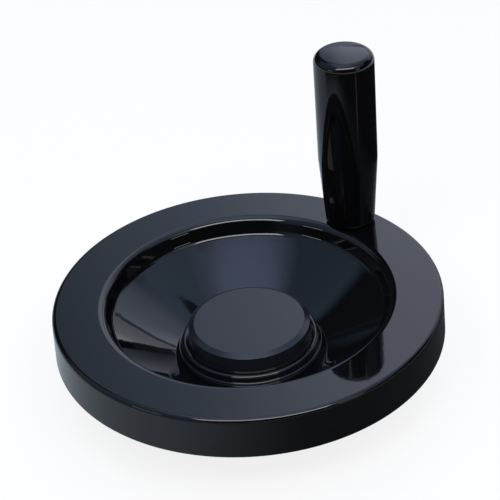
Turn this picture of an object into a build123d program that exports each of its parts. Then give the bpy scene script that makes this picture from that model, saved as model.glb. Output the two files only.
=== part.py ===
from build123d import *
import math
import os

# Machine handwheel: a dished solid-disc wheel with a revolving grip and a snap-in hub cover.
# Millimetres, +Z up. The origin is the centre of the shaft bore in the hub's lower face, the
# face that seats on the shaft's shoulder. The grip stands on +X.

# Rim
wheel_diameter = 160.0
rim_height = 18.0
rim_face_height = 40.0
rim_face_width = 21.35
rim_foot_width = 21.5
rim_side_taper = 0.5
rim_top_round = 1.8
rim_foot_round = 1.2
dish_mouth_round = 4.5
dish_wall_draft = 22.0
cavity_wall_draft = 4.0
cavity_edge_round = 1.2
cavity_fillet = 2.5

# Conical web, from the foot of the dish's wall down to the boss
dish_shoulder_depth = 6.6
web_thickness = 5.5
web_rim_fillet = 5.0

# Boss, which carries the cover above the web and seats on the shaft's shoulder below it
boss_diameter = 56.8
boss_top_below_face = 19.6
boss_rise = 3.8
boss_top_round = 1.2
boss_foot_fillet = 0.8
boss_draft = 1.0
hub_foot_diameter = 52.0
hub_foot_round = 1.0
hub_neck_fillet = 3.0
hub_neck_draft = 2.0
boss_recess_diameter = 44.8
boss_recess_depth = 6.0

# Steel bush in the boss
bush_diameter = 28.0
bush_length = 18.0
bush_edge = 0.8
bush_groove_depth = 1.2
bush_groove_width = 2.5
bush_lower_groove_height = 3.5
bush_upper_groove_height = 9.0
bush_flat_width = 25.6
shaft_diameter = 16.0
bore_edge = 0.5
key_width = 5.0
key_depth = 2.3

# Hub cover
cover_diameter = 50.3
cover_face_diameter = 45.6
cover_height = 7.45
cover_bevel_drop = 1.15
cover_side_taper = 0.1
cover_edge_round = 0.35
cover_wall = 1.8
snap_ring_wall = 1.4
snap_ring_clearance = 0.15
snap_finger_count = 8
snap_slot_width = 5.0
snap_reach = 4.4
snap_bead = 0.45
snap_bead_height = 1.2
snap_bead_play = 0.1

# Threaded insert in the rim
grip_inset = 11.0
thread_diameter = 10.0
thread_clearance = 0.05
insert_diameter = 14.0
insert_length = 14.5
insert_groove_depth = 0.8
insert_groove_width = 3.0
insert_hole_depth = 13.6
insert_mouth = 0.4

# Spindle
spindle_diameter = 10.0
spindle_reach = 68.0
thread_length = 12.8
thread_relief_width = 1.5
thread_relief_depth = 0.9
collar_diameter = 15.0
collar_height = 2.6
collar_edge = 0.3
spindle_end_edge = 0.8
socket_width = 5.0
socket_depth = 5.0
ring_groove_below_end = 5.0
ring_wire = 1.5
ring_groove_depth = 0.75
ring_side_play = 0.1
ring_seat_play = 0.05
ring_opening = 40.0

# Liner, the bearing bush in the grip
running_clearance = 0.05
thrust_play = 0.1
liner_wall = 1.95
liner_flange_height = 1.2
liner_flange_clearance = 0.15
liner_length = 64.0
liner_groove_play = 0.25
collar_side_clearance = 0.4

# Grip
grip_diameter = 25.0
grip_foot_diameter = 20.8
grip_length = 80.0
grip_taper_height = 30.5
grip_gap = 0.9
grip_foot_round = 1.7
grip_kink_round = 2.0
grip_crown = 1.0
grip_crown_round = 3.5
grip_bore_beyond_spindle = 2.0
drill_point = 59.0

# How far a cutting shape runs past what it cuts, and how much of a wall its two roundings may take
cut_overrun = 1.0
rounding_room = 0.98

# Heights and radii that follow
wheel_radius = wheel_diameter / 2
grip_circle_radius = wheel_radius - grip_inset
cavity_radius = wheel_radius - rim_foot_width
rim_face_z = rim_face_height
rim_foot_z = rim_face_z - rim_height
dish_mouth_radius = wheel_radius - rim_face_width
dish_corner_z = rim_face_z - dish_shoulder_depth
dish_corner_radius = dish_mouth_radius - dish_shoulder_depth * math.tan(math.radians(dish_wall_draft))
boss_radius = boss_diameter / 2
boss_top_z = rim_face_z - boss_top_below_face
web_end_z = boss_top_z - boss_rise
web_slope = math.atan2(dish_corner_z - web_end_z, dish_corner_radius - boss_radius)
boss_recess_z = boss_top_z - boss_recess_depth
bush_radius = bush_diameter / 2
recess_radius = boss_recess_diameter / 2
snap_ring_radius = recess_radius - snap_ring_clearance
snap_end_z = boss_top_z - snap_reach
cover_face_z = boss_top_z + cover_height
insert_foot_z = rim_face_z - insert_length
spindle_radius = spindle_diameter / 2
collar_top_z = rim_face_z + collar_height
spindle_end_z = rim_face_z + spindle_reach
ring_z = spindle_end_z - ring_groove_below_end
ring_radius = spindle_radius - ring_groove_depth + ring_seat_play + ring_wire / 2
liner_inner_radius = spindle_radius + running_clearance
liner_outer_radius = liner_inner_radius + liner_wall
liner_foot_z = collar_top_z + thrust_play
counterbore_radius = collar_diameter / 2 + collar_side_clearance
grip_foot_z = rim_face_z + grip_gap


def web_top_z(radius):
    """Height of the web's upper face at a radius."""
    return dish_corner_z - (dish_corner_radius - radius) * math.tan(web_slope)


def web_foot_z(radius):
    """Height of the web's lower face at a radius."""
    return web_top_z(radius) - web_thickness / math.cos(web_slope)


def meet_web(radius, height, lean, face_z):
    """Where a wall, through this radius and height and leaning outward as it rises, meets a web face."""
    rise = math.tan(math.radians(lean))
    met_radius = (radius + rise * (face_z(0) - height)) / (1 - rise * math.tan(web_slope))
    return met_radius, face_z(met_radius)


def wall_length(corners, index):
    """Length of the section's wall from this corner to the next."""
    after = corners[(index + 1) % len(corners)]
    return math.dist(corners[index][:2], after[:2])


def rounding_reach(corners, index):
    """How far along its two walls a corner's rounding reaches."""
    here = corners[index]
    before = corners[index - 1]
    after = corners[(index + 1) % len(corners)]
    turn = math.atan2(after[1] - here[1], after[0] - here[0])
    turn -= math.atan2(here[1] - before[1], here[0] - before[0])
    turn = abs(math.remainder(turn, 2 * math.pi))
    return here[2] * math.tan(turn / 2)


def wall_share(corners, index):
    """Share of the roundings at a wall's two ends that the wall has length for, at most 1."""
    reach = rounding_reach(corners, index) + rounding_reach(corners, (index + 1) % len(corners))
    room = wall_length(corners, index) * rounding_room
    return min(1, room / reach) if reach else 1


def turned(corners):
    """Solid turned about Z from its section's corners, each (radius, height, rounding)."""
    section = make_face(Polyline(*[(radius, 0, height) for radius, height, rounding in corners], close=True))
    for index, (radius, height, rounding) in enumerate(corners):
        if rounding:
            share = min(wall_share(corners, index - 1), wall_share(corners, index))
            corner = section.vertices().sort_by_distance((radius, 0, height))[0]
            section = fillet(corner, rounding * share)
    return revolve(section, Axis.Z)


def on_grip_axis(shape):
    """Moves a piece that was turned about Z to the grip's axis."""
    return Pos(grip_circle_radius, 0, 0) * shape


def tube(outer_radius, inner_radius, foot_z, top_z):
    """Plain ring about Z."""
    corners = [
        (inner_radius, foot_z, 0),
        (outer_radius, foot_z, 0),
        (outer_radius, top_z, 0),
        (inner_radius, top_z, 0),
    ]
    return turned(corners)


def make_bush_blank():
    """The bush as it lies in the moulding: two ring grooves hold it axially, two flats against turning."""
    groove_radius = bush_radius - bush_groove_depth
    cut_radius = bush_radius + cut_overrun
    blank = Pos(0, 0, bush_length / 2) * Cylinder(bush_radius, bush_length)
    for height in (bush_lower_groove_height, bush_upper_groove_height):
        blank -= tube(cut_radius, groove_radius, height, height + bush_groove_width)
    flats = Pos(0, 0, bush_length / 2) * Box(bush_flat_width, bush_diameter, bush_length)
    land_foot_z = bush_lower_groove_height + bush_groove_width
    land = tube(cut_radius, groove_radius, land_foot_z, bush_upper_groove_height)
    return blank - (land - flats)


def make_hub_bush():
    """Steel bush with a reamed bore and a keyway, its head standing free in the boss's recess."""
    bush = make_bush_blank()
    bush = chamfer(bush.edges().filter_by(GeomType.CIRCLE).group_by(Axis.Z)[-1], bush_edge)
    bore_radius = shaft_diameter / 2
    bush -= Pos(0, 0, bush_length / 2) * Cylinder(bore_radius, bush_length)
    rings = bush.edges().filter_by(GeomType.CIRCLE)
    bush = chamfer(rings.filter_by(lambda edge: abs(edge.radius - bore_radius) < 1e-3), bore_edge)
    key_reach = bore_radius + key_depth
    keyway = Pos(key_reach / 2, 0, bush_length / 2) * Box(key_reach, key_width, bush_length)
    return bush - keyway


def make_insert_blank():
    """The rim insert as it lies in the moulding, on Z: a groove holds it against pull."""
    insert_radius = insert_diameter / 2
    blank = Pos(0, 0, insert_foot_z + insert_length / 2) * Cylinder(insert_radius, insert_length)
    groove_foot_z = insert_foot_z + (insert_length - insert_groove_width) / 2
    groove_top_z = groove_foot_z + insert_groove_width
    groove_radius = insert_radius - insert_groove_depth
    return blank - tube(insert_radius + cut_overrun, groove_radius, groove_foot_z, groove_top_z)


def make_rim_insert():
    """Brass insert, closed at its foot, with a bored thread for the spindle."""
    hole_radius = thread_diameter / 2 + thread_clearance
    hole = Pos(0, 0, rim_face_z - insert_hole_depth / 2) * Cylinder(hole_radius, insert_hole_depth)
    insert = make_insert_blank() - hole
    face_edges = insert.edges().filter_by(GeomType.CIRCLE).group_by(Axis.Z)[-1]
    mouth = face_edges.filter_by(lambda edge: abs(edge.radius - hole_radius) < 1e-3)
    return on_grip_axis(chamfer(mouth, insert_mouth))


def make_wheel_body():
    """Rim, conical web and boss in one moulding, formed round the bush and the rim insert."""
    hub_foot_radius = hub_foot_diameter / 2
    bead_radius = snap_ring_radius + snap_bead + snap_bead_play
    bead_foot_z = snap_end_z - snap_bead_play
    bead_top_z = snap_end_z + snap_bead_height + snap_bead_play
    section = [
        (bush_radius - bush_groove_depth, 0, 0),
        (hub_foot_radius, 0, hub_foot_round),
        (*meet_web(hub_foot_radius, 0, hub_neck_draft, web_foot_z), hub_neck_fillet),
        (*meet_web(cavity_radius, rim_foot_z, -cavity_wall_draft, web_foot_z), cavity_fillet),
        (cavity_radius, rim_foot_z, cavity_edge_round),
        (wheel_radius, rim_foot_z, rim_foot_round),
        (wheel_radius - rim_side_taper, rim_face_z, rim_top_round),
        (dish_mouth_radius, rim_face_z, dish_mouth_round),
        (dish_corner_radius, dish_corner_z, web_rim_fillet),
        (*meet_web(boss_radius, boss_top_z, -boss_draft, web_top_z), boss_foot_fillet),
        (boss_radius, boss_top_z, boss_top_round),
        (recess_radius, boss_top_z, 0),
        (recess_radius, bead_top_z, 0),
        (bead_radius, bead_top_z, 0),
        (bead_radius, bead_foot_z, 0),
        (recess_radius, bead_foot_z, 0),
        (recess_radius, boss_recess_z, 0),
        (bush_radius - bush_groove_depth, boss_recess_z, 0),
    ]
    return turned(section) - make_bush_blank() - on_grip_axis(make_insert_blank())


def make_hub_cap():
    """Cover with a bevelled edge, a thin skirt that seats on the boss and a ring of snap fingers inside."""
    face_radius = cover_face_diameter / 2
    seat_radius = cover_diameter / 2
    shoulder_radius = seat_radius - cover_side_taper
    shoulder_z = cover_face_z - cover_bevel_drop
    inner_face_z = cover_face_z - cover_wall
    shell = [
        (0, inner_face_z, 0),
        (face_radius - cover_wall / 2, inner_face_z, cover_edge_round),
        (shoulder_radius - cover_wall, shoulder_z - cover_wall, cover_edge_round),
        (seat_radius - cover_wall, boss_top_z, 0),
        (seat_radius, boss_top_z, 0),
        (shoulder_radius, shoulder_z, cover_edge_round),
        (face_radius, cover_face_z, cover_edge_round),
        (0, cover_face_z, 0),
    ]
    bead_top_z = snap_end_z + snap_bead_height
    fingers = [
        (snap_ring_radius - snap_ring_wall, inner_face_z, 0),
        (snap_ring_radius - snap_ring_wall, snap_end_z, 0),
        (snap_ring_radius, snap_end_z, 0),
        (snap_ring_radius + snap_bead, snap_end_z + snap_bead_height / 2, 0),
        (snap_ring_radius + snap_bead, bead_top_z - snap_bead_height / 4, 0),
        (snap_ring_radius, bead_top_z, 0),
        (snap_ring_radius, inner_face_z, 0),
    ]
    ring = turned(fingers)
    slot_height = inner_face_z - snap_end_z
    slot_length = 2 * (snap_ring_wall + snap_bead)
    slot = Box(slot_length, snap_slot_width, slot_height)
    slot = Pos(snap_ring_radius, 0, snap_end_z + slot_height / 2) * slot
    for place in PolarLocations(0, snap_finger_count):
        ring -= place * slot
    return turned(shell) + ring


def make_grip_spindle():
    """Steel spindle: thread, collar that seats on the rim, bearing shank, ring groove and key socket."""
    thread_radius = thread_diameter / 2
    thread_foot_z = rim_face_z - thread_length
    relief_radius = thread_radius - thread_relief_depth
    groove_radius = spindle_radius - ring_groove_depth
    groove_half = ring_wire / 2 + ring_side_play
    outline = [
        (0, thread_foot_z, 0),
        (thread_radius - spindle_end_edge, thread_foot_z, 0),
        (thread_radius, thread_foot_z + spindle_end_edge, 0),
        (thread_radius, rim_face_z - thread_relief_width, 0),
        (relief_radius, rim_face_z - thread_relief_width, 0),
        (relief_radius, rim_face_z, 0),
        (collar_diameter / 2, rim_face_z, collar_edge),
        (collar_diameter / 2, collar_top_z, collar_edge),
        (spindle_radius, collar_top_z, 0),
        (spindle_radius, ring_z - groove_half, 0),
        (groove_radius, ring_z - groove_half, 0),
        (groove_radius, ring_z + groove_half, 0),
        (spindle_radius, ring_z + groove_half, 0),
        (spindle_radius, spindle_end_z - spindle_end_edge, 0),
        (spindle_radius - spindle_end_edge, spindle_end_z, 0),
        (0, spindle_end_z, 0),
    ]
    socket_outline = RegularPolygon(socket_width / 2, 6, major_radius=False)
    socket = Pos(0, 0, spindle_end_z - socket_depth) * extrude(socket_outline, socket_depth)
    return on_grip_axis(turned(outline) - socket)


def make_retaining_ring():
    """Open ring of round spring wire, in the spindle's groove and the liner's."""
    wire = Pos(ring_radius, 0, ring_z) * (Plane.XZ * Circle(ring_wire / 2))
    return on_grip_axis(revolve(wire, Axis.Z, 360 - ring_opening))


def make_grip_liner():
    """Polymer bearing bush with a thrust flange over the spindle's collar and a groove for the ring."""
    flange_radius = counterbore_radius - liner_flange_clearance
    flange_top_z = liner_foot_z + liner_flange_height
    liner_top_z = liner_foot_z + liner_length
    groove_radius = ring_radius + ring_wire / 2 + liner_groove_play
    groove_half = ring_wire / 2 + liner_groove_play
    outline = [
        (liner_inner_radius, liner_foot_z, 0),
        (flange_radius, liner_foot_z, 0),
        (flange_radius, flange_top_z, 0),
        (liner_outer_radius, flange_top_z, 0),
        (liner_outer_radius, liner_top_z, 0),
        (liner_inner_radius, liner_top_z, 0),
        (liner_inner_radius, ring_z + groove_half, 0),
        (groove_radius, ring_z + groove_half, 0),
        (groove_radius, ring_z - groove_half, 0),
        (liner_inner_radius, ring_z - groove_half, 0),
    ]
    return on_grip_axis(turned(outline))


def arc_about(centre_radius, centre_z, arc_radius, from_angle, to_angle):
    """Arc in the turning section about a centre, its angles in radians from the outward radius."""
    points = []
    for angle in (from_angle, (from_angle + to_angle) / 2, to_angle):
        point_radius = centre_radius + arc_radius * math.cos(angle)
        points.append((point_radius, 0, centre_z + arc_radius * math.sin(angle)))
    return ThreePointArc(*points)


def make_grip():
    """Closed moulded grip: tapered foot, cylindrical body and a crowned end, with a blind bore from below."""
    foot_radius = grip_foot_diameter / 2
    body_radius = grip_diameter / 2
    kink_z = grip_foot_z + grip_taper_height
    end_z = grip_foot_z + grip_length
    bore_end_z = spindle_end_z + grip_bore_beyond_spindle
    counterbore_z = liner_foot_z + liner_flange_height
    tip_z = bore_end_z + liner_outer_radius / math.tan(math.radians(drill_point))
    crown_radius = (body_radius**2 + grip_crown**2) / (2 * grip_crown)
    crown_centre_z = end_z - crown_radius
    edge_radius = body_radius - grip_crown_round
    edge_z = crown_centre_z + math.sqrt((crown_radius - grip_crown_round) ** 2 - edge_radius**2)
    edge_angle = math.atan2(edge_z - crown_centre_z, edge_radius)
    crown = arc_about(0, crown_centre_z, crown_radius, math.pi / 2, edge_angle)
    crown_edge = arc_about(edge_radius, edge_z, grip_crown_round, edge_angle, 0)
    walls = Polyline(
        (body_radius, 0, edge_z),
        (body_radius, 0, kink_z),
        (foot_radius, 0, grip_foot_z),
        (counterbore_radius, 0, grip_foot_z),
        (counterbore_radius, 0, counterbore_z),
        (liner_outer_radius, 0, counterbore_z),
        (liner_outer_radius, 0, bore_end_z),
        (0, 0, tip_z),
        (0, 0, end_z),
    )
    section = make_face([*crown.edges(), *crown_edge.edges(), *walls.edges()])
    section = fillet(section.vertices().sort_by_distance((body_radius, 0, kink_z))[0], grip_kink_round)
    section = fillet(section.vertices().sort_by_distance((foot_radius, 0, grip_foot_z))[0], grip_foot_round)
    return on_grip_axis(revolve(section, Axis.Z))


os.makedirs("parts", exist_ok=True)
export_step(make_wheel_body(), "parts/wheel_body.step")
export_step(make_hub_bush(), "parts/hub_bush.step")
export_step(make_hub_cap(), "parts/hub_cap.step")
export_step(make_rim_insert(), "parts/rim_insert.step")
export_step(make_grip_spindle(), "parts/grip_spindle.step")
export_step(make_retaining_ring(), "parts/retaining_ring.step")
export_step(make_grip_liner(), "parts/grip_liner.step")
export_step(make_grip(), "parts/grip.step")
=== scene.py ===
# %% [markdown]
# # A machine handwheel in black gloss plastic
#
# The object is a dished disc handwheel: a heavy rim, a conical web, a boss with a snap-in
# cover, and an upright grip that spins on a steel spindle. The packed CAD model gives the sizes
# and places. This lesson dresses it: the moulded pieces are turned again with finer curves,
# every piece gets its finish, and a small studio lights them.
#
# The first cell loads the CAD model.

# %% Load the CAD model
import math
import bpy
from mathutils import Matrix, Vector


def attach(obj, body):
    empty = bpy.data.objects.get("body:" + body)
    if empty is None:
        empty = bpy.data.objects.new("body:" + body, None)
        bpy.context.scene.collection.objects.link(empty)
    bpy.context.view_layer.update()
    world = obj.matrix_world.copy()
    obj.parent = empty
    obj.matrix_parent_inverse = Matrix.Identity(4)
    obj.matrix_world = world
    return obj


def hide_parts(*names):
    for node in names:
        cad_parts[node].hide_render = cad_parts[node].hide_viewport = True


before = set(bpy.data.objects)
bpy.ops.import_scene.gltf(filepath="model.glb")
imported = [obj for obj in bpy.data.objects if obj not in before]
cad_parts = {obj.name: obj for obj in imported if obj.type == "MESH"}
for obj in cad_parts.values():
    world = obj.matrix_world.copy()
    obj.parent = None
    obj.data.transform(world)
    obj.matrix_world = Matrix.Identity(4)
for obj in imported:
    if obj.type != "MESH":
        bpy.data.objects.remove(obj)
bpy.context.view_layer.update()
MM = 0.001


print("CAD nodes:", sorted(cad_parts))

# %% [markdown]
# ## The camera
#
# A product photographer stands well back with a long lens, so the wheel's ellipses are nearly
# those of a parallel view. The camera's place, lens and lean were worked out from the circles
# in the photograph: the rim, the dish's mouth, the boss, the cover and the grip's two ends.
# Blender's camera looks along its own -Z, so the matrix is filled column by column from the
# right, up and back directions. The lean turns the right and up directions about the view.

# %% Place the camera
camera_place = Vector((-0.44129, -0.41154, 0.46708))
camera_target = Vector((0.03713, 0.03057, 0.03000))
camera_lens = 131.05
camera_lean = math.radians(-4.641)


def aim(place, target, lean=0.0):
    """Matrix of a camera or lamp at a place, facing a target, turned about its view by the lean."""
    ahead = (target - place).normalized()
    level = ahead.cross(Vector((0, 0, 1))).normalized()
    upright = level.cross(ahead)
    right = math.cos(lean) * level + math.sin(lean) * upright
    up = math.cos(lean) * upright - math.sin(lean) * level
    turn = Matrix((right, up, -ahead)).transposed().to_4x4()
    return Matrix.Translation(place) @ turn


def new_object(name, data):
    """An object that holds this data, linked to the scene."""
    made = bpy.data.objects.new(name, data)
    bpy.context.scene.collection.objects.link(made)
    return made


lens = bpy.data.cameras.new("long_lens")
lens.lens = camera_lens
lens.sensor_width = 36.0
lens.clip_end = 20.0
camera = new_object("camera", lens)
camera.matrix_world = aim(camera_place, camera_target, camera_lean)
bpy.context.scene.camera = camera
print("camera distance in metres:", round((camera_target - camera_place).length, 3))

# %% [markdown]
# ## Writing node trees as sums
#
# Materials and Geometry Nodes are graphs of small boxes. Written box by box they are long and
# hard to read. The class below wraps one output socket, and Python's own signs then add the
# Math nodes: `1 - mask` and `height * 3` each become a node.


# %% Sums of sockets
class Wire:
    """A node's output that can stand in a Python sum."""

    def __init__(self, tree, socket):
        self.tree = tree
        self.socket = socket

    def __add__(self, other):
        return self.tree.maths("ADD", self, other)

    def __sub__(self, other):
        return self.tree.maths("SUBTRACT", self, other)

    def __rsub__(self, other):
        return self.tree.maths("SUBTRACT", other, self)

    def __mul__(self, other):
        return self.tree.maths("MULTIPLY", self, other)

    def __truediv__(self, other):
        return self.tree.maths("DIVIDE", self, other)

    def __rtruediv__(self, other):
        return self.tree.maths("DIVIDE", other, self)

    def __pow__(self, other):
        return self.tree.maths("POWER", self, other)

    def __rpow__(self, other):
        return self.tree.maths("POWER", other, self)

    __radd__ = __add__
    __rmul__ = __mul__

    def sin(self):
        return self.tree.maths("SINE", self)

    def cos(self):
        return self.tree.maths("COSINE", self)

    def whole(self):
        return self.tree.maths("ROUND", self)

    def absolute(self):
        return self.tree.maths("ABSOLUTE", self)

    def ramp(self, low, high, start=0.0, end=1.0):
        """Start below low, end above high, and a smooth step between them."""
        settings = {"interpolation_type": "SMOOTHSTEP"}
        sockets = {"Value": self, "From Min": low, "From Max": high, "To Min": start, "To Max": end}
        return self.tree.node("ShaderNodeMapRange", settings, sockets)


print("a wire also knows:", [name for name in vars(Wire) if not name.startswith("_")])

# %% [markdown]
# ## One method for every node
#
# Every other kind of node comes from one method, `node`. It sets the node's settings first,
# because they can change which sockets the node shows, and then fills the sockets with plain
# values or with wires from other nodes. A few nodes that come up often get a short name. Mix
# has a socket under the same name for every kind of data, so its colours go in by number.


# %% Add nodes to a tree
class Tree:
    """A node tree with one method that adds any node."""

    def __init__(self, node_tree):
        self.node_tree = node_tree

    def node(self, kind, settings=None, sockets=None, out=0):
        made = self.node_tree.nodes.new(kind)
        for name, value in (settings or {}).items():
            setattr(made, name, value)
        for name, value in (sockets or {}).items():
            if isinstance(value, Wire):
                self.node_tree.links.new(value.socket, made.inputs[name])
            else:
                made.inputs[name].default_value = value
        return Wire(self, made.outputs[out]) if made.outputs else made

    def maths(self, operation, *terms):
        return self.node("ShaderNodeMath", {"operation": operation}, dict(enumerate(terms)))

    def split(self, vector):
        """The three parts of a vector."""
        outputs = self.node("ShaderNodeSeparateXYZ", {}, {0: vector}).socket.node.outputs
        return [Wire(self, output) for output in outputs]

    def join(self, x, y, z):
        return self.node("ShaderNodeCombineXYZ", {}, {0: x, 1: y, 2: z})

    def blend(self, share, first, second):
        """A colour that is the first where share is 0 and the second where it is 1."""
        sockets = {0: share, 6: first, 7: second}
        return self.node("ShaderNodeMix", {"data_type": "RGBA"}, sockets, out=2)

    def noise(self, where, scale, detail=2.0, roughness=0.5):
        """Cloudy noise about 0.5, its scale in features a metre on Object coordinates."""
        sockets = {"Vector": where, "Scale": scale, "Detail": detail, "Roughness": roughness}
        return self.node("ShaderNodeTexNoise", {}, sockets)


print("a tree adds nodes by:", sorted(name for name in vars(Tree) if not name.startswith("_")))

# %% [markdown]
# ## Turned sections
#
# The wheel, the cover and the grip are all solids of revolution, so each is described by the
# outline that a lathe or a mould maker would draw: a list of corners, each with its radius from
# the axis, its height and its rounding, in millimetres. The functions below round the corners
# with true arcs. Beside each arc they add one more point a tenth of a millimetre away. Smooth
# shading averages the normals of neighbouring faces, and on black gloss plastic a wide flat
# face would otherwise seem to sag towards its rounded edge.

# %% Round the corners of a section
least_rounding = 0.08
degrees_a_step = 7
beside = 0.1


def rounded_corner(here, back, on, rounding):
    """Points of one corner's arc. Back and on lead from the corner to its neighbours."""
    half = back.angle(on) / 2
    back, on = back.normalized(), on.normalized()
    reach = rounding / math.tan(half)
    centre = here + (back + on).normalized() * rounding / math.sin(half)
    start, end = here + back * reach, here + on * reach
    first = math.atan2(start.y - centre.y, start.x - centre.x)
    sweep = math.atan2(end.y - centre.y, end.x - centre.x) - first
    sweep = (sweep + math.pi) % (2 * math.pi) - math.pi
    steps = max(3, math.ceil(math.degrees(math.pi - 2 * half) / degrees_a_step))
    arc = []
    for step in range(steps + 1):
        angle = first + sweep * step / steps
        arc.append(centre + rounding * Vector((math.cos(angle), math.sin(angle))))
    return [start + back * beside, *arc, end + on * beside]


def rounded(corners, closed):
    """Points of a section, (radius, height) in metres, from its corners in millimetres."""
    points = []
    last = len(corners) - 1
    for index, (radius, height, rounding) in enumerate(corners):
        here = Vector((radius, height))
        if not closed and index in (0, last):
            points.append(here)
            continue
        back = Vector(corners[index - 1][:2]) - here
        on = Vector(corners[(index + 1) % len(corners)][:2]) - here
        points += rounded_corner(here, back, on, rounding or least_rounding)
    if closed:
        points.append(points[0])
    return [point * MM for point in points]


square = [(0, 0, 0), (9, 0, 3), (9, 9, 0)]
print("a square corner of 3 mm gets", len(rounded(square, False)) - 2, "points")

# %% [markdown]
# ## A lathe in Geometry Nodes
#
# Blender could turn a section with its Screw modifier or with Spin. Geometry Nodes are chosen
# because the rule stays readable and its sizes stay open as named inputs. Every tree here is
# opened with its named inputs and closed in the same way: Realize Instances makes plain mesh,
# and Set Material gives it its finish.


# %% Open and close a node group
def new_group(name, inlets):
    """An empty Geometry Nodes group with named inputs, and those inputs as wires."""
    group = bpy.data.node_groups.new(name, "GeometryNodeTree")
    for title, kind, value in inlets:
        socket = group.interface.new_socket(title, in_out="INPUT", socket_type=kind)
        if value is not None:
            socket.default_value = value
    group.interface.new_socket("Shape", in_out="OUTPUT", socket_type="NodeSocketGeometry")
    tree = Tree(group)
    entry = group.nodes.new("NodeGroupInput")
    return group, tree, {inlet[0]: Wire(tree, entry.outputs[inlet[0]]) for inlet in inlets}


def close_group(group, tree, shape, finish):
    """Ends a group: plain mesh, its material, and the output."""
    shape = tree.node("GeometryNodeRealizeInstances", {}, {"Geometry": shape})
    shape = tree.node("GeometryNodeSetMaterial", {}, {"Geometry": shape, "Material": finish})
    exit_node = group.nodes.new("NodeGroupOutput")
    group.links.new(shape.socket, exit_node.inputs["Shape"])
    return group


def input_keys(group):
    """The identifier of each input of a group, by its name."""
    items = group.interface.items_tree
    return {item.name: item.identifier for item in items if item.in_out == "INPUT"}


print("a group opens with named inputs and ends in plain mesh")

# %% [markdown]
# The lathe lays out a flat grid with one row for each point of the section and one column for
# each step round the axis. Each grid point reads its section point by number and is set in
# place by sine and cosine. The first and last columns meet, and so do the points on the axis,
# so a merge closes the shape.


# %% Build the lathe
def build_lathe():
    """Geometry Nodes tree that turns the section of its object about Z."""
    group, tree, inlet = new_group("lathe", [
        ("Section", "NodeSocketGeometry", None),
        ("Steps Round", "NodeSocketInt", 288),
        ("Across", "NodeSocketFloat", 0.0),
        ("Finish", "NodeSocketMaterial", None),
    ])
    section = inlet["Section"]
    rows = tree.node("GeometryNodeAttributeDomainSize", {"component": "MESH"}, {0: section})
    sockets = {"Vertices X": inlet["Steps Round"] + 1, "Vertices Y": rows}
    grid = tree.node("GeometryNodeMeshGrid", {}, {"Size X": 1.0, "Size Y": 1.0, **sockets})
    across, along = tree.split(tree.node("GeometryNodeInputPosition"))[:2]
    row = ((along + 0.5) * (rows - 1)).whole()
    settings = {"data_type": "FLOAT_VECTOR", "domain": "POINT"}
    place = tree.node("GeometryNodeInputPosition")
    sockets = {"Geometry": section, "Value": place, "Index": row}
    radius, height = tree.split(tree.node("GeometryNodeSampleIndex", settings, sockets))[::2]
    angle = (across + 0.5) * (2 * math.pi)
    place = tree.join(radius * angle.cos() + inlet["Across"], radius * angle.sin(), height)
    shape = tree.node("GeometryNodeSetPosition", {}, {"Geometry": grid, "Position": place})
    shape = tree.node("GeometryNodeMergeByDistance", {}, {"Geometry": shape, "Distance": 1e-6})
    sockets = {"Geometry": shape, "Shade Smooth": True}
    shape = tree.node("GeometryNodeSetShadeSmooth", {}, sockets)
    return close_group(group, tree, shape, inlet["Finish"])


lathe = build_lathe()
print("lathe inputs:", list(input_keys(lathe)))

# %% [markdown]
# A second tree sets copies of a piece in a ring. It puts one instance on each of a number of
# points that all lie on the axis, and turns every instance by its own number. The piece itself
# stands off the axis, so the copies form a circle.


# %% Build the ring of copies
def build_ring():
    """Geometry Nodes tree that repeats its object round Z."""
    group, tree, inlet = new_group("ring_of_copies", [
        ("Piece", "NodeSocketGeometry", None),
        ("Count", "NodeSocketInt", 8),
        ("First Angle", "NodeSocketFloat", 0.0),
        ("Finish", "NodeSocketMaterial", None),
    ])
    count = inlet["Count"]
    sockets = {"Count": count, "Offset": (0, 0, 0)}
    points = tree.node("GeometryNodeMeshLine", {"mode": "OFFSET"}, sockets)
    number = tree.node("GeometryNodeInputIndex")
    turn = tree.join(0, 0, number / count * (2 * math.pi) + inlet["First Angle"])
    turn = tree.node("FunctionNodeEulerToRotation", {}, {"Euler": turn})
    sockets = {"Points": points, "Instance": inlet["Piece"], "Rotation": turn}
    shape = tree.node("GeometryNodeInstanceOnPoints", {}, sockets)
    return close_group(group, tree, shape, inlet["Finish"])


ring_of_copies = build_ring()
print("ring inputs:", list(input_keys(ring_of_copies)))

# %% [markdown]
# A tree runs as a modifier on an object whose mesh is the section or the piece to copy. Its
# inputs are set by their identifiers before the object is first evaluated. The result is then
# kept as the object's plain mesh, and the modifier is taken off.


# %% Run a tree on a mesh
def mesh_object(name, points, edges, faces):
    """An object with a new mesh of these points, edges and faces."""
    mesh = bpy.data.meshes.new(name)
    mesh.from_pydata(points, edges, faces)
    return new_object(name, mesh)


def section_object(name, points):
    """An object whose mesh is one open chain of points in the XZ plane, for the lathe."""
    chain = [(index, index + 1) for index in range(len(points) - 1)]
    return mesh_object(name, [(point.x, 0, point.y) for point in points], chain, [])


def grow(piece, group, values):
    """Runs a Geometry Nodes tree on an object and leaves the result as its plain mesh."""
    modifier = piece.modifiers.new("tree", "NODES")
    modifier.node_group = group
    keys = input_keys(group)
    for name, value in values.items():
        modifier[keys[name]] = value
    bpy.context.view_layer.update()
    graph = bpy.context.evaluated_depsgraph_get()
    mesh = bpy.data.meshes.new_from_object(piece.evaluated_get(graph))
    piece.modifiers.remove(modifier)
    piece.data = mesh
    mesh.name = piece.name
    print(piece.name, "has", len(mesh.polygons), "faces")


print("node groups:", [group.name for group in (lathe, ring_of_copies)])

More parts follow.
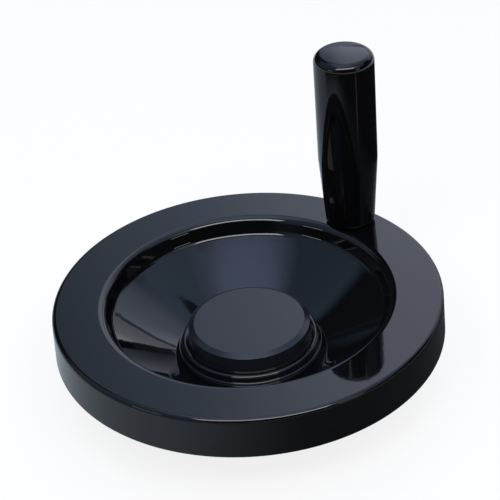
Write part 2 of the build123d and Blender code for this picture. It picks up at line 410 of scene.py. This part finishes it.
# %% [markdown]
# ## Parts of a finish
#
# All finishes are built from the same few parts: an emptied material, Object coordinates that
# may be centred on the grip's axis, marks that run in rings, and a relief. Marks round an axis
# could be an image, but noise needs no unwrapping: it is read at a place made of the radius,
# the angle and the height, so it comes out thin across the rings and long round the axis.


# %% Make the parts of a finish
def new_finish(name):
    """A new material and its node tree, emptied."""
    material = bpy.data.materials.new(name)
    material.use_nodes = True
    material.node_tree.nodes.clear()
    return material, Tree(material.node_tree)


def put_on(tree, sockets):
    """Adds the Principled shader with these sockets, and the material's output."""
    shader = tree.node("ShaderNodeBsdfPrincipled", {}, sockets)
    tree.node("ShaderNodeOutputMaterial", {}, {"Surface": shader})


def object_place(tree, centre=0.0):
    """Object coordinates, measured from an upright axis that stands this far out on +X."""
    where = tree.node("ShaderNodeTexCoord", out="Object")
    if centre:
        sockets = {0: where, 1: (centre, 0, 0)}
        where = tree.node("ShaderNodeVectorMath", {"operation": "SUBTRACT"}, sockets)
    return where


def polar(tree, x, y):
    """Radius and angle about the upright axis."""
    return (x * x + y * y) ** 0.5, tree.maths("ARCTAN2", y, x)


def ring_marks(tree, where, across, along, roughness):
    """Noise in rings about the axis, its scale across them and along them."""
    x, y, z = tree.split(where)
    radius, angle = polar(tree, x, y)
    place = tree.join(radius * across, angle * along, z * across)
    return tree.noise(place, 1, detail=3, roughness=roughness)


def relief(tree, height, depth):
    """Normal of a bump whose height runs from 0 to 1 and stands this many millimetres."""
    sockets = {"Strength": 1.0, "Distance": depth * MM, "Height": height}
    return tree.node("ShaderNodeBump", {}, sockets)


def dress(node, material):
    """Gives a CAD piece its finish."""
    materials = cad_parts[node].data.materials
    materials.clear()
    materials.append(material)


grip_axis = 0.069
print("the grip's axis stands", round(grip_axis / MM, 1), "millimetres out")

# %% [markdown]
# ## Black gloss thermoset
#
# The wheel is compression moulded from a black thermosetting resin and comes out of a polished
# tool, so its colour is almost nothing but reflection. A perfect mirror would look like glass,
# though. Small irregularities make it plastic: a long, shallow waviness where the skin shrank
# over the thick rim, a fine orange peel, a roughness that drifts a little, hairline marks that
# run round the axis where the part was wiped and buffed, and a few specks of dust.


# %% Mix the gloss plastic
def gloss_plastic(name, colour, warm_colour, bending, centre=0.0):
    """Moulded black gloss plastic, its wiping marks running round an axis on +X."""
    material, tree = new_finish(name)
    where = object_place(tree, centre)
    cloud = tree.noise(where, 22, detail=3)
    hairline = ring_marks(tree, where, 1500, 1.5, 0.7).ramp(0.60, 0.72)
    peel = tree.noise(where, 620, detail=1)
    wave = tree.noise(where, 38, detail=1)
    specks = tree.node("ShaderNodeTexVoronoi", {}, {"Vector": where, "Scale": 420})
    dust = 1 - specks.ramp(0.05, 0.10)
    polish = 0.025
    put_on(tree, {
        "Base Color": tree.blend(cloud, colour, warm_colour),
        "Roughness": polish + cloud * 0.025 + hairline * 0.03 + dust * 0.08,
        "Normal": relief(tree, wave * 0.93 + peel * 0.06 + hairline * 0.01, 0.05),
        "IOR": bending,
    })
    return material


wheel_gloss = gloss_plastic(
    "black_gloss_moulding", (0.0019, 0.0020, 0.0023, 1), (0.0027, 0.0028, 0.0031, 1), 1.46)
grip_gloss = gloss_plastic(
    "black_gloss_grip", (0.0020, 0.0020, 0.0022, 1), (0.0028, 0.0027, 0.0027, 1), 1.41, grip_axis)
print("gloss finishes:", wheel_gloss.name, grip_gloss.name)

# %% [markdown]
# ## The wheel
#
# Rim, web and boss are one moulding. The rim stands 18 mm high, its face is flat, and the
# dish drops behind a soft lip to a conical web that meets the boss deep below the face. Under
# the web the hub's foot reaches down to the surface that the wheel stands on.
#
# Most corners of the section are the CAD model's. Three things are read from the reflections
# in the photograph and differ from it by less than a millimetre: the lip is a little firmer,
# the web's upper face is slightly hollow, and a narrow groove runs round the cover's seat. The
# hollow is one more corner in the middle of the web, with a very large rounding.

# %% Measure the web
boss_radius, boss_top = 28.4, 20.4
dish_corner = (55.773, 33.4)
web_end, web_wall = 16.6, 5.5
web_slope = (dish_corner[1] - web_end) / (dish_corner[0] - boss_radius)
web_drop = web_wall * math.hypot(1, web_slope)


def web_top(radius):
    """Height of the web's upper face in millimetres, without its hollow."""
    return dish_corner[1] - (dish_corner[0] - radius) * web_slope


def web_foot(radius):
    """Height of the web's lower face in millimetres."""
    return web_top(radius) - web_drop


print("the web slopes by", round(math.degrees(math.atan(web_slope)), 1), "degrees")

# %% Turn the wheel
bush_radius, hub_radius = 12.8, 26.0
cavity_inner, cavity_outer = 26.31, 58.056
rim_inner, rim_radius, rim_top_radius = 58.5, 80.0, 79.5
rim_foot, rim_face = 22.0, 40.0
mouth_radius, lip_rounding = 58.44, 3.5
hollow_radius, hollow_drop, hollow_rounding = 42.0, 1.2, 200.0
web_inner = 28.466
groove_outer, groove_floor, groove_inner, groove_depth = 26.7, 25.3, 25.2, 0.5
recess_radius, bead_radius = 22.4, 22.8
bead_top, bead_foot, recess_foot = boss_top - 3.1, boss_top - 4.5, boss_top - 6.0
wheel_section = [
    (bush_radius, 0.0, 0),
    (hub_radius, 0.0, 1.0),
    (cavity_inner, web_foot(cavity_inner), 3.0),
    (cavity_outer, web_foot(cavity_outer), 2.5),
    (rim_inner, rim_foot, 1.2),
    (rim_radius, rim_foot, 1.2),
    (rim_top_radius, rim_face, 1.8),
    (mouth_radius, rim_face, lip_rounding),
    (*dish_corner, 4.0),
    (hollow_radius, web_top(hollow_radius) - hollow_drop, hollow_rounding),
    (web_inner, web_top(web_inner), 0.8),
    (boss_radius, boss_top, 1.2),
    (groove_outer, boss_top, 0.2),
    (groove_floor, boss_top - groove_depth, 0),
    (groove_inner, boss_top, 0),
    (recess_radius, boss_top, 0),
    (recess_radius, bead_top, 0),
    (bead_radius, bead_top, 0),
    (bead_radius, bead_foot, 0),
    (recess_radius, bead_foot, 0),
    (recess_radius, recess_foot, 0),
    (bush_radius, recess_foot, 0),
]
wheel = section_object("wheel_moulding", rounded(wheel_section, True))
grow(wheel, lathe, {"Steps Round": 288, "Finish": wheel_gloss})
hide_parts("wheel_body")
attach(wheel, "wheel")

# %% [markdown]
# ## The hub cover
#
# The cover is a separate, slightly softer looking moulding that clips into the boss. Its flat
# top ends in a narrow bevel and a plain skirt. A coarser skin than the wheel's makes it satin:
# more roughness, a fine grain, and rubbed patches where a thumb has pressed it in.


# %% Mix the satin plastic
def satin_plastic(name, colour, pale_colour):
    """Black satin plastic with a fine grain."""
    material, tree = new_finish(name)
    where = object_place(tree)
    cloud = tree.noise(where, 30, detail=3)
    grain = tree.noise(where, 2400, detail=2)
    rub = tree.noise(where, 240, detail=4, roughness=0.7)
    put_on(tree, {
        "Base Color": tree.blend(cloud, colour, pale_colour),
        "Roughness": 0.20 + cloud * 0.06 + rub.ramp(0.55, 0.7) * 0.05,
        "Normal": relief(tree, grain * 0.2 + rub * 0.8, 0.02),
        "IOR": 1.45,
    })
    return material


cover_satin = satin_plastic(
    "black_satin_cover", (0.0070, 0.0072, 0.0100, 1), (0.0105, 0.0108, 0.0140, 1))
print("cover finish:", cover_satin.name)

# %% Turn the cover
cover_face, top_wall = 27.85, 1.8
bevel_radius, bevel_foot = 22.8, cover_face - 1.15
skirt_inner, skirt_outer = 23.35, 25.15
cover_section = [
    (0.0, cover_face - top_wall, 0),
    (21.9, cover_face - top_wall, 0.35),
    (23.25, cover_face - 2.95, 0.35),
    (skirt_inner, boss_top, 0),
    (skirt_outer, boss_top, 0),
    (25.05, bevel_foot, 0.35),
    (bevel_radius, cover_face, 0.35),
    (0.0, cover_face, 0),
]
cover = section_object("hub_cover", rounded(cover_section, False))
grow(cover, lathe, {"Steps Round": 224, "Finish": cover_satin})

# %% [markdown]
# Inside the cover, a ring of eight fingers with small beads snaps into a groove of the boss.
# The fingers could be cut from a turned ring with eight slots. Here one finger is built from
# listed points, as its outline set at thirteen angles with faces between them, and the ring tree
# copies it round the axis. Its sides stay parallel to its slot, so the sweep is wider further out.

# %% Make the fingers
finger_count, half_slot, spread_steps = 8, 2.5, 12
half_pitch = math.pi / finger_count
finger_inner, finger_outer, finger_bead = 20.85, 22.25, 22.70
finger_root, finger_foot = cover_face - 1.9, boss_top - 4.4
finger_outline = [
    (finger_inner, finger_root),
    (finger_inner, finger_foot),
    (finger_outer, finger_foot),
    (finger_bead, finger_foot + 0.6),
    (finger_bead, finger_foot + 0.9),
    (finger_outer, finger_foot + 1.2),
    (finger_outer, finger_root),
]
finger_points = []
for step in range(spread_steps + 1):
    for radius, height in finger_outline:
        reach = half_pitch - math.asin(half_slot / radius)
        turn = reach * (2 * step / spread_steps - 1)
        place = (radius * math.cos(turn) * MM, radius * math.sin(turn) * MM, height * MM)
        finger_points.append(place)
corner_count = len(finger_outline)
last_outline = spread_steps * corner_count
finger_faces = [tuple(range(corner_count))]
finger_faces.append(tuple(reversed(range(last_outline, last_outline + corner_count))))
for near in range(0, last_outline, corner_count):
    far = near + corner_count
    for corner in range(corner_count):
        on = (corner + 1) % corner_count
        finger_faces.append((near + corner, far + corner, far + on, near + on))
fingers = mesh_object("snap_fingers", finger_points, [], finger_faces)
grow(fingers, ring_of_copies,
     {"Count": finger_count, "First Angle": half_pitch, "Finish": cover_satin})
for piece in (cover, fingers):
    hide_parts("hub_cap")
    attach(piece, "wheel")

# %% [markdown]
# ## The grip
#
# The grip is a closed moulding with a blind bore from below: a tapered foot, a plain cylinder
# and a softly crowned end. It rides on the body that spins, so its mesh must be placed on the
# spindle's axis, 69 mm out. The lathe's Across input moves the turned shape there. The crown is
# a shallow dome of one large arc, and a smaller arc leads from it into the wall.

# %% Measure the crown
grip_radius, grip_foot, grip_end = 12.5, 40.9, 120.9
crown, crown_edge = 1.0, 3.5
dome_radius = (grip_radius**2 + crown**2) / (2 * crown)
dome_centre = grip_end - dome_radius
edge_radius = grip_radius - crown_edge
edge_centre = dome_centre + math.sqrt((dome_radius - crown_edge) ** 2 - edge_radius**2)
edge_sweep = math.atan2(edge_centre - dome_centre, edge_radius)
edge_steps, dome_steps = 14, 12


def arc_point(centre_radius, centre_height, size, angle):
    """A section point in metres on an arc whose centre and size are in millimetres."""
    radius = centre_radius + size * math.cos(angle)
    return Vector((radius, centre_height + size * math.sin(angle))) * MM


edge_arc = [
    arc_point(edge_radius, edge_centre, crown_edge, edge_sweep * step / edge_steps)
    for step in range(edge_steps + 1)]
dome_arc = [
    arc_point(0, dome_centre, dome_radius,
              edge_sweep + (math.pi / 2 - edge_sweep) * step / dome_steps)
    for step in range(1, dome_steps + 1)]
dome_arc[-1].x = 0.0
print("the crown's large arc has a radius of", round(dome_radius, 1), "millimetres")

# %% Turn the grip
bore_radius, bore_tip, bore_end, bore_foot = 7.0, 114.1, 110.0, 43.9
mouth_inner, foot_radius, taper_height = 7.9, 10.4, 30.5
grip_walls = rounded([
    (0.0, bore_tip, 0),
    (bore_radius, bore_end, 0),
    (bore_radius, bore_foot, 0),
    (mouth_inner, bore_foot, 0),
    (mouth_inner, grip_foot, 0),
    (foot_radius, grip_foot, 1.7),
    (grip_radius, grip_foot + taper_height, 2.0),
    (grip_radius, edge_centre, 0),
], False)
grip = section_object("grip_moulding", grip_walls[:-1] + edge_arc + dome_arc)
grow(grip, lathe, {"Steps Round": 192, "Across": grip_axis, "Finish": grip_gloss})
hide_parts("grip")
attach(grip, "grip")

# %% [markdown]
# ## Metal and bearing pieces
#
# The bush, insert, spindle and ring are turned or drawn steel and brass. They are small or
# hidden, so the CAD meshes are kept and only get a finish. Turning leaves fine rings, so their
# roughness and relief are noise that is stretched round the piece's own axis.


# %% Mix the metals
def turned_metal(name, colour, dull_colour, roughness, centre):
    """Turned metal with fine rings about an axis on +X."""
    material, tree = new_finish(name)
    where = object_place(tree, centre)
    rings = ring_marks(tree, where, 6000, 0.8, 0.6)
    cloud = tree.noise(where, 90, detail=3)
    put_on(tree, {
        "Base Color": tree.blend(cloud.ramp(0.35, 0.7), colour, dull_colour),
        "Roughness": roughness + rings * 0.12 + cloud * 0.08,
        "Normal": relief(tree, rings, 0.008),
        "Metallic": 1.0,
    })
    return material


blackened, blackened_dull = (0.16, 0.16, 0.17, 1), (0.10, 0.095, 0.09, 1)
brass, brass_dull = (0.72, 0.53, 0.25, 1), (0.55, 0.40, 0.20, 1)
zinc, zinc_dull = (0.60, 0.61, 0.63, 1), (0.48, 0.48, 0.47, 1)
spring, spring_dull = (0.42, 0.42, 0.44, 1), (0.30, 0.29, 0.28, 1)
metals = {
    "hub_bush": ("blackened_steel", blackened, blackened_dull, 0.25, 0.0),
    "rim_insert": ("turned_brass", brass, brass_dull, 0.2, grip_axis),
    "grip_spindle": ("zinc_plated_steel", zinc, zinc_dull, 0.2, grip_axis),
    "retaining_ring": ("spring_steel", spring, spring_dull, 0.3, grip_axis),
}
for node, recipe in metals.items():
    dress(node, turned_metal(*recipe))
print("metal finishes on", sorted(metals))

# %% [markdown]
# ## The liner
#
# The liner is a bearing bush in natural polymer, a warm off-white with a waxy surface. Light
# enters such a polymer a little, and subsurface scattering would show that, but the liner sits
# inside the grip, so a plain soft gloss is enough.


# %% Mix the liner's polymer
def natural_polymer(name):
    """Waxy off-white bearing polymer."""
    material, tree = new_finish(name)
    where = object_place(tree, grip_axis)
    cloud = tree.noise(where, 120, detail=3)
    put_on(tree, {
        "Base Color": tree.blend(cloud, (0.74, 0.73, 0.69, 1), (0.68, 0.66, 0.60, 1)),
        "Roughness": 0.38 + cloud * 0.1,
        "Normal": relief(tree, tree.noise(where, 1500, detail=2), 0.006),
    })
    return material


dress("grip_liner", natural_polymer("natural_polymer"))
print("liner finish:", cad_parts["grip_liner"].data.materials[0].name)

# %% [markdown]
# ## Floor and backdrop
#
# The floor is plain pale paint. Light Path tells its shader which kind of ray is looking: for
# the camera most of the answer is an even white of strength 1, so the picture's background stays
# white at any lamp level, and the rest is the lit paint, which keeps the object's shadow. Mirror
# rays and rays through glass get the same white from half a metre out.

# %% Lay the floor
floor_reach = 4
signs = ((-1, -1), (1, -1), (1, 1), (-1, 1))
floor_corners = [(x * floor_reach, y * floor_reach, 0) for x, y in signs]
floor = mesh_object("floor", floor_corners, [], [(0, 1, 2, 3)])
view_turn = math.atan2(camera_target.y - camera_place.y, camera_target.x - camera_place.x)
print("floor covers", 2 * floor_reach, "by", 2 * floor_reach, "metres")

# %% [markdown]
# Nearer to the object a mirror ray sees a painted reflection instead of the white: a grey floor
# with painted shade on it, so that black gloss stays black. Close to the wheel the painted shade
# darkens the grey towards the front right, as the object's shadow would. From 14 to 20 centimetres
# out the painted shade deepens to near black and covers all but one side. A painted highlight
# line, 12 mm wide, crosses it. Only mirror rays see all this, so the painted shade and the line
# show in the plastic and not on the floor.

# %% Paint the floor
# Bearings, colours and the line's place for the painted shade and painted highlight line that only
# mirror rays see.
painted_shade_bearing = view_turn - math.radians(112)
painted_shade_turn = math.radians(28)
highlight_line_lean, highlight_line_offset = 0.163, 0.0656
pale_paint, painted_reflection_grey = (0.88, 0.86, 0.83, 1), (0.52, 0.55, 0.54, 1)
painted_shade_grey, painted_shade_black = (0.060, 0.064, 0.062, 1), (0.014, 0.014, 0.014, 1)
painted_highlight_grey = (0.45, 0.45, 0.45, 1)
backdrop_share = 0.85

floor_paint, tree = new_finish("pale_floor")
paths = tree.node("ShaderNodeLightPath").socket.node.outputs
path_names = ("Is Camera Ray", "Is Glossy Ray", "Is Transmission Ray")
seen, mirrored, through = (Wire(tree, paths[name]) for name in path_names)
where = object_place(tree)
x, y = tree.split(where)[:2]
radius, angle = polar(tree, x, y)
# Mask of the painted shade: towards the front right near the object, over all but one side farther
# out.
from_shade_bearing = angle - painted_shade_bearing
shade_near = from_shade_bearing.cos().ramp(-0.3, 0.75)
shade_far = (from_shade_bearing + painted_shade_turn).cos().ramp(-0.75, -0.45)
away = radius.ramp(0.14, 0.20)
painted_shade_mask = shade_near + (shade_far - shade_near) * away
# Mask of the painted highlight line, 12 mm wide, that crosses the painted shade.
from_highlight_line = (x - y * highlight_line_lean - highlight_line_offset).absolute()
painted_highlight_mask = from_highlight_line.ramp(0.004, 0.008, 1.0, 0.0) * away
# The painted reflection that mirror rays see near the object: grey floor, painted shade and painted
# highlight line.
painted_reflection = tree.blend(painted_shade_mask, painted_reflection_grey, tree.blend(away, painted_shade_grey, painted_shade_black))
painted_reflection = tree.blend(painted_highlight_mask, painted_reflection, painted_highlight_grey)
near = mirrored * radius.ramp(0.3, 0.5, 1.0, 0.0)
paint = tree.node("ShaderNodeBsdfPrincipled", {}, {
    "Base Color": tree.blend(near, pale_paint, painted_reflection),
    "Roughness": 0.9,
    "Specular IOR Level": 0.0,
    "Normal": relief(tree, tree.noise(where, 900, detail=2), 0.01),
})
white = tree.node("ShaderNodeEmission", {}, {"Color": (1, 1, 1, 1), "Strength": 1.0})
share = (seen + (mirrored + through) * radius.ramp(0.3, 0.5)) * backdrop_share
mix = tree.node("ShaderNodeMixShader", {}, {0: share, 1: paint, 2: white})
tree.node("ShaderNodeOutputMaterial", {}, {"Surface": mix})
floor.data.materials.append(floor_paint)
print("floor finish:", floor_paint.name, "with", len(floor_paint.node_tree.nodes), "nodes")

# %% [markdown]
# ## A studio painted on the world
#
# Black gloss shows its surroundings more than itself, so most of the picture is made here. Each
# panel is a wall, a card, the ceiling or a gap between them, described as a photographer would
# point at it: how far round from straight behind the object, how wide, between which heights,
# and how soft its edge. The panels are laid over each other like coats of paint, the later over
# the earlier. The direction of a ray comes from the Generated coordinates of the world, and
# sines and cosines of the panels' angles are compared with it.

# %% Read the ray's direction
world = bpy.data.worlds.new("studio")
bpy.context.scene.world = world
world.use_nodes = True
world.node_tree.nodes.clear()
tree = Tree(world.node_tree)
behind = (math.cos(view_turn), math.sin(view_turn), 0)
rightward = (math.sin(view_turn), -math.cos(view_turn), 0)
ray = tree.node("ShaderNodeTexCoord", out="Generated")
dot = {"operation": "DOT_PRODUCT"}
far = tree.node("ShaderNodeVectorMath", dot, {0: ray, 1: behind}, out="Value")
side = tree.node("ShaderNodeVectorMath", dot, {0: ray, 1: rightward}, out="Value")
up = tree.split(ray)[2]
level = (far * far + side * side + 1e-6) ** 0.5


def sine(degrees):
    return math.sin(math.radians(degrees))


def cosine(degrees):
    return math.cos(math.radians(degrees))


def panel_mask(azimuth, half_width, side_edge, low, high, edge):
    """1 inside a panel and 0 outside it. A half width of 180 and a high of 90 have no edge."""
    mask = up.ramp(sine(low - edge / 2), sine(low + edge / 2))
    if half_width < 180:
        across = (far * cosine(azimuth) + side * sine(azimuth)) / level
        outer, inner = half_width + side_edge / 2, half_width - side_edge / 2
        mask = mask * across.ramp(cosine(outer), cosine(inner))
    if high < 90:
        mask = mask * up.ramp(sine(high - edge / 2), sine(high + edge / 2), 1.0, 0.0)
    return mask


print("straight behind the object is", round(math.degrees(view_turn), 1), "degrees from +X")

# %% Paint the studio
studio = (0.020, 0.023, 0.026, 1)
panels = [
    ("left wall, low", (-105, 45, 20), (12, 40, 14), (0.27, 0.33, 0.41)),
    ("left wall, high", (-99, 60, 10), (36, 78, 8), (0.28, 0.42, 0.62)),
    ("pale wall behind", (27, 35, 12), (9, 66, 12), (0.50, 0.64, 0.88)),
    ("pale wall, right", (80, 32, 16), (42, 71, 10), (0.50, 0.71, 1.04)),
    ("lit part of the wall", (38, 17, 14), (17, 42, 12), (0.88, 1.02, 1.30)),
    ("bright card behind", (18, 16, 12), (20, 50, 10), (1.36, 1.46, 1.84)),
    ("paper sweep behind", (24, 18, 8), (2, 19, 3), (0.84, 0.87, 0.98)),
    ("gap above the paper", (24, 18, 8), (19, 21, 1), (0.24, 0.29, 0.38)),
    ("low strip behind", (19, 8, 6), (3, 10, 3), (1.15, 1.18, 1.30)),
    ("right wall", (108, 18, 12), (34, 62, 10), (0.50, 0.62, 0.78)),
    ("right wall, front", (127, 9, 10), (34, 62, 10), (1.10, 1.20, 1.35)),
    ("ceiling", (0, 180, 0), (74, 90, 22), (1.32, 1.62, 2.45)),
    ("high wall behind", (5, 46, 26), (56, 80, 16), (1.00, 1.22, 1.70)),
]
for name, sideways, upright, colour in panels:
    studio = tree.blend(panel_mask(*sideways, *upright), studio, (*colour, 1))
    print("panel:", name)
light = tree.node("ShaderNodeBackground", {}, {"Color": studio, "Strength": 1.0})
tree.node("ShaderNodeOutputWorld", {}, {"Surface": light})

# %% [markdown]
# ## The lamps
#
# The painted panels light the object from all round. Three softboxes add the small bright lines
# that run along the edges of gloss plastic, and one key lamp adds plain light and a shadow. The
# key is hidden from mirror rays, because its square would show in the plastic.

# %% Hang the lamps
lamp_target = Vector((0, 0, 0.02))


def soft_lamp(name, azimuth, elevation, distance, width, height, watts):
    """A softbox that faces the wheel, in degrees and metres. Azimuth 0 is behind it, plus is right."""
    turn = view_turn - math.radians(azimuth)
    lift = math.radians(elevation)
    flat = math.cos(lift)
    towards = Vector((math.cos(turn) * flat, math.sin(turn) * flat, math.sin(lift)))
    data = bpy.data.lights.new(name, "AREA")
    data.shape = "RECTANGLE"
    data.size = width
    data.size_y = height
    data.energy = watts
    lamp = new_object(name, data)
    lamp.matrix_world = aim(towards * distance, lamp_target)
    print(name, "radiance", round(watts / (width * height) / math.pi, 2))
    return lamp


soft_lamp("front softbox", 176, 57, 1.3, 1.30, 0.34, 11.5)
soft_lamp("left strip", -122, 18, 1.3, 0.36, 0.08, 0.4)
soft_lamp("right strip", 129, 20, 1.3, 0.32, 0.08, 0.35)
key = soft_lamp("key", -42, 40, 1.5, 0.45, 0.45, 3.0)
key.visible_glossy = False

# %% [markdown]
# ## Close the lesson
#
# Standard view keeps a written colour as it is.

# %% Set the view transform
bpy.context.scene.view_settings.view_transform = "Standard"
